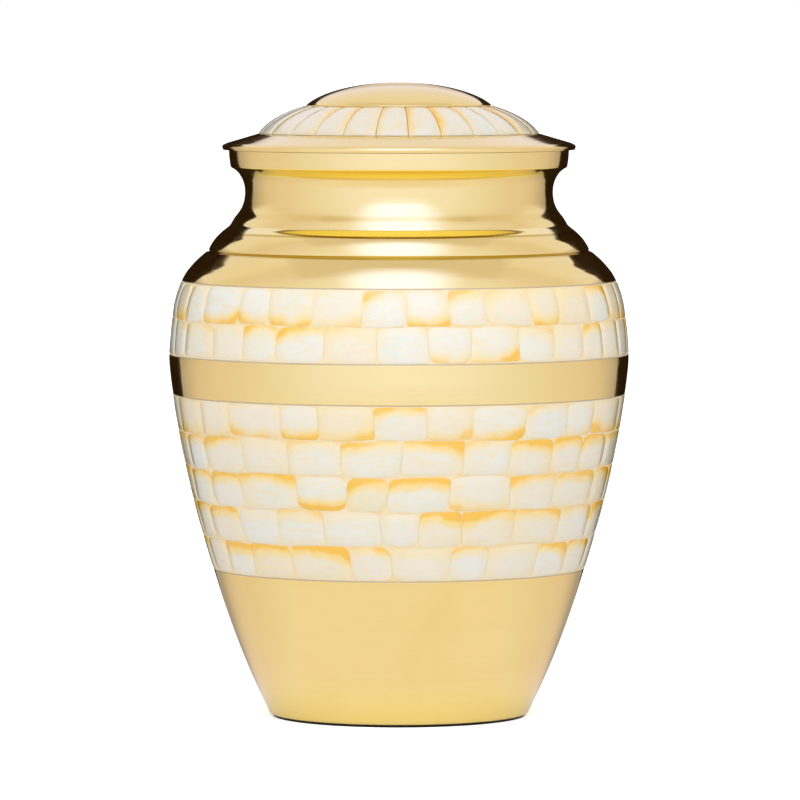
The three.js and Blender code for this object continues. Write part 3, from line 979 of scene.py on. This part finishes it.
CARD_DISTANCE = 1.0
CARD_WIDTH = 1.7
CARD_HEIGHT = 0.95
CARD_LOW = 0.285
CARD_SWEEP = 0.6
CARD_FOLD = 0.65
FOLD_WIDTH = 0.6
FOLD_HEIGHT = 0.002
CARD_COLOR = (0.003, 0.002, 0.0005, 1)
CARD_GLOW_COLOR = (1.0, 0.36, 0.0, 1)
CARD_GLOW = 0.016
bpy.ops.object.select_all(action="DESELECT")
bpy.ops.mesh.primitive_grid_add(x_subdivisions=48, y_subdivisions=2, size=1)
card = bpy.context.active_object
card.name = "dark_card"
for point in card.data.vertices:
    sweep = (2 * abs(point.co.x)) ** CARD_SWEEP
    rise = max(2 * point.co.y, 0)
    forward = max(-2 * point.co.y, 0)
    height = FOLD_HEIGHT + rise * mix(CARD_LOW, CARD_HEIGHT, sweep)
    width = mix(CARD_WIDTH, FOLD_WIDTH, forward)
    point.co = (point.co.x * width, CARD_DISTANCE - forward * CARD_FOLD, height)
dark = bpy.data.materials.new("dark_card")
dark.use_nodes = True
card_surface = dark.node_tree.nodes["Principled BSDF"]
card_surface.inputs["Base Color"].default_value = CARD_COLOR
card_surface.inputs["Emission Color"].default_value = CARD_GLOW_COLOR
card_surface.inputs["Emission Strength"].default_value = CARD_GLOW
card_surface.inputs["Roughness"].default_value = 0.9
card_surface.inputs["Specular IOR Level"].default_value = 0.05
card.data.materials.append(dark)
card.visible_camera = False
card.visible_diffuse = False
card.visible_shadow = False


def soft_light(name, width, length, power, color, place, tilt, fades):
    """A rectangular soft light that fades towards its sides and its ends."""
    light = bpy.data.lights.new(name, "AREA")
    light.shape = "RECTANGLE"
    light.size = width
    light.size_y = length
    light.energy = power
    light.color = color
    light.use_nodes = True
    tree = light.node_tree
    patch = add_node(tree, "ShaderNodeNewGeometry").outputs["Parametric"]
    patch_axes = add_node(tree, "ShaderNodeSeparateXYZ", inputs={"Vector": patch}).outputs
    falloffs = []
    for axis, (near, edge) in zip("XY", fades):
        off = calculate(tree, "ABSOLUTE", calculate(tree, "SUBTRACT", patch_axes[axis], 0.5))
        falloffs.append(spread(tree, off, near, edge, 1.0, 0.0))
    tree.links.new(calculate(tree, "MULTIPLY", *falloffs), tree.nodes["Emission"].inputs["Strength"])
    lamp = bpy.data.objects.new(name, light)
    lamp.location = place
    lamp.rotation_euler = (tilt, 0, 0)
    lamp.visible_camera = False
    bpy.context.collection.objects.link(lamp)
    return lamp


softbox = soft_light(
    "overhead_softbox", width=2.0, length=2.8, power=64.0, color=(1, 1, 1), place=(0, -1.5, 1.4), tilt=0,
    fades=[(0.04, 0.46), (0.2, 0.5)],
)
softbox.visible_glossy = False
shine = soft_light(
    "softbox_shine", width=1.2, length=1.95, power=13.0, color=(0.17, 0.265, 1.0), place=(0, -0.69, 1.0),
    tilt=math.radians(45), fades=[(0.125, 0.5), (0.22, 0.47)],
)
shine.visible_diffuse = False

ROOM_EVEN = (0.92, 0.92, 0.92, 1)
ROOM_ABOVE_BACK = (0.93, 0.89, 1.06)
ABOVE_BACK_RISE = (0.2, 0.36)
ABOVE_BACK_BEARING = (0.2, 0.6)
ROOM_STRAIGHT_BACK = (0.88, 0.77, 0.61)
STRAIGHT_BACK_RISE = (0.1, 0.34)
STRAIGHT_BACK_BEARING = (0.9, 0.99)
CEILING_STRIP = (0.8, 0.74, 0.85)
CEILING_SIDES = (0.58, 0.7)
CEILING_TAPER = 0.3
CEILING_START = (-0.25, 0.0)
CEILING_END = (0.2, 0.4)
CEILING_BOW = -0.8
CEILING_RISE = (0.4, 0.6)
LEAST_RISE = 0.05
world = bpy.data.worlds.new("white_room")
bpy.context.scene.world = world
world.use_nodes = True
room = world.node_tree
room.nodes.clear()
heading = add_node(room, "ShaderNodeTexCoord").outputs["Generated"]
heading_axes = add_node(room, "ShaderNodeSeparateXYZ", inputs={"Vector": heading}).outputs
walls, bearing = room_round(room, heading_axes, level_reach(room, heading_axes))
back_rise = spread(room, heading_axes["Z"], *ABOVE_BACK_RISE)
above_back = calculate(room, "MULTIPLY", back_rise, spread(room, bearing, *ABOVE_BACK_BEARING))
walls = blend_colors(room, above_back, walls, room_share(ROOM_ABOVE_BACK))
back_low = spread(room, heading_axes["Z"], *STRAIGHT_BACK_RISE, 1.0, 0.0)
straight_back = calculate(room, "MULTIPLY", back_low, spread(room, bearing, *STRAIGHT_BACK_BEARING))
walls = blend_colors(room, straight_back, walls, room_share(ROOM_STRAIGHT_BACK))
rise = calculate(room, "MAXIMUM", heading_axes["Z"], LEAST_RISE)
sideways = calculate(room, "DIVIDE", calculate(room, "ABSOLUTE", heading_axes["X"]), rise)
backways = calculate(room, "DIVIDE", heading_axes["Y"], rise)
strip_side = calculate(room, "MULTIPLY_ADD", backways, CEILING_TAPER, sideways)
on_strip = spread(room, strip_side, *CEILING_SIDES, 1.0, 0.0)
strip_start = spread(room, backways, *CEILING_START)
strip_back = calculate(room, "MULTIPLY_ADD", sideways, CEILING_BOW, backways)
strip_end = spread(room, strip_back, *CEILING_END, 1.0, 0.0)
on_strip = calculate(room, "MULTIPLY", on_strip, calculate(room, "MULTIPLY", strip_start, strip_end))
on_strip = calculate(room, "MULTIPLY", on_strip, spread(room, heading_axes["Z"], *CEILING_RISE))
mirrored_room = blend_colors(room, on_strip, walls, room_share(CEILING_STRIP))
sight = add_node(room, "ShaderNodeLightPath").outputs
even_room = add_node(room, "ShaderNodeBackground", inputs={"Color": ROOM_EVEN, "Strength": 1.0})
shiny_room = add_node(room, "ShaderNodeBackground", inputs={"Color": mirrored_room, "Strength": ROOM_LIGHT})
backdrop = add_node(room, "ShaderNodeBackground", inputs={"Color": (1, 1, 1, 1), "Strength": 1.0})
room_layers = {0: sight["Is Glossy Ray"], 1: even_room.outputs[0], 2: shiny_room.outputs[0]}
lit = add_node(room, "ShaderNodeMixShader", inputs=room_layers)
sight_layers = {0: sight["Is Camera Ray"], 1: lit.outputs[0], 2: backdrop.outputs[0]}
seen = add_node(room, "ShaderNodeMixShader", inputs=sight_layers)
add_node(room, "ShaderNodeOutputWorld", inputs={"Surface": seen.outputs[0]})

CAMERA_DISTANCE = 2.723
CAMERA_HEIGHT = 0.278
CAMERA_SIDE = 0.0004
CAMERA_PITCH = math.radians(3.265)
CAMERA_LENS = 316.1
CAMERA_SENSOR = 36.0
CAMERA_CLIP = 200.0
camera_data = bpy.data.cameras.new("camera")
camera_data.sensor_width = CAMERA_SENSOR
camera_data.lens = CAMERA_LENS
camera_data.clip_end = CAMERA_CLIP
camera = bpy.data.objects.new("camera", camera_data)
camera.location = (CAMERA_SIDE, -CAMERA_DISTANCE, CAMERA_HEIGHT)
camera.rotation_euler = (math.radians(90) - CAMERA_PITCH, 0, 0)
bpy.context.collection.objects.link(camera)
bpy.context.scene.camera = camera
bpy.context.scene.view_settings.view_transform = "Standard"
